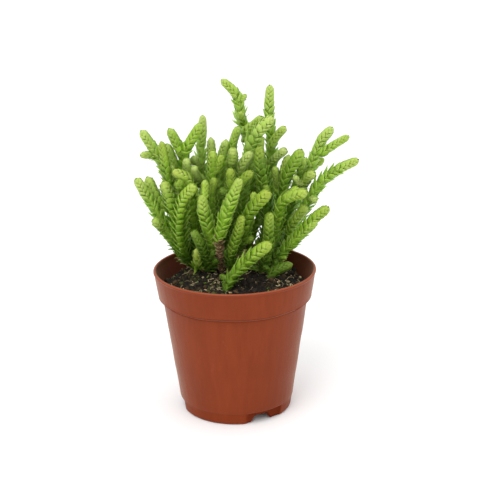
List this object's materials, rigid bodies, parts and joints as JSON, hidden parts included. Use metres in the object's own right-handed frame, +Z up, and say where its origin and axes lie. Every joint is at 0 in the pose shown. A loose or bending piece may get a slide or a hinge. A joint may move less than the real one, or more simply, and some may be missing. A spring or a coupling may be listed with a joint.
{
  "type": "potted watch chain crassula",
  "caption": "Small succulent with a dense tuft of slender, upright, four-ranked scaly green shoots in dark peat, in a round terracotta-coloured plastic nursery pot.",
  "frame": {"origin": "bottom centre of the bounding box, in the plane that the pot's foot stands on; the pot's own axis lies about 7 mm towards -X and 4 mm towards -Y of it", "axes": "+Z up along the pot's axis, the pictured side faces -Y, +X to the right as seen from there"},
  "size_m": [0.1128, 0.0934, 0.1709],
  "materials": {
    "pot_plastic": "satin injection-moulded polypropylene, faint scuffs",
    "peat": "matt crumbly peat with pale grains and fibres",
    "leaf": "fleshy satin leaves, yellow-green tips, paler margins, slightly translucent"
  },
  "bodies": {
    "root": {"pot": "pot_plastic", "soil": "peat", "shoot_01": "leaf", "shoot_02": "leaf", "shoot_03": "leaf", "shoot_04": "leaf", "shoot_05": "leaf", "shoot_06": "leaf", "shoot_07": "leaf", "shoot_08": "leaf", "shoot_09": "leaf", "shoot_10": "leaf", "shoot_11": "leaf", "shoot_12": "leaf", "shoot_13": "leaf", "shoot_14": "leaf", "shoot_15": "leaf", "shoot_16": "leaf", "shoot_17": "leaf", "shoot_18": "leaf", "shoot_19": "leaf", "shoot_20": "leaf", "shoot_21": "leaf", "shoot_22": "leaf", "shoot_23": "leaf", "shoot_24": "leaf", "shoot_25": "leaf", "shoot_26": "leaf", "shoot_27": "leaf", "shoot_28": "leaf", "shoot_29": "leaf", "shoot_30": "leaf", "shoot_31": "leaf", "shoot_32": "leaf", "shoot_33": "leaf", "shoot_34": "leaf", "shoot_35": "leaf", "shoot_36": "leaf", "shoot_37": "leaf", "shoot_38": "leaf", "shoot_39": "leaf", "shoot_40": "leaf", "shoot_41": "leaf", "shoot_42": "leaf", "shoot_43": "leaf", "shoot_44": "leaf", "shoot_45": "leaf", "shoot_46": "leaf", "shoot_47": "leaf", "shoot_48": "leaf", "shoot_49": "leaf", "shoot_50": "leaf", "shoot_51": "leaf", "shoot_52": "leaf", "shoot_53": "leaf", "shoot_54": "leaf", "shoot_55": "leaf", "shoot_56": "leaf", "shoot_57": "leaf", "shoot_58": "leaf"}
  },
  "joints": []
}
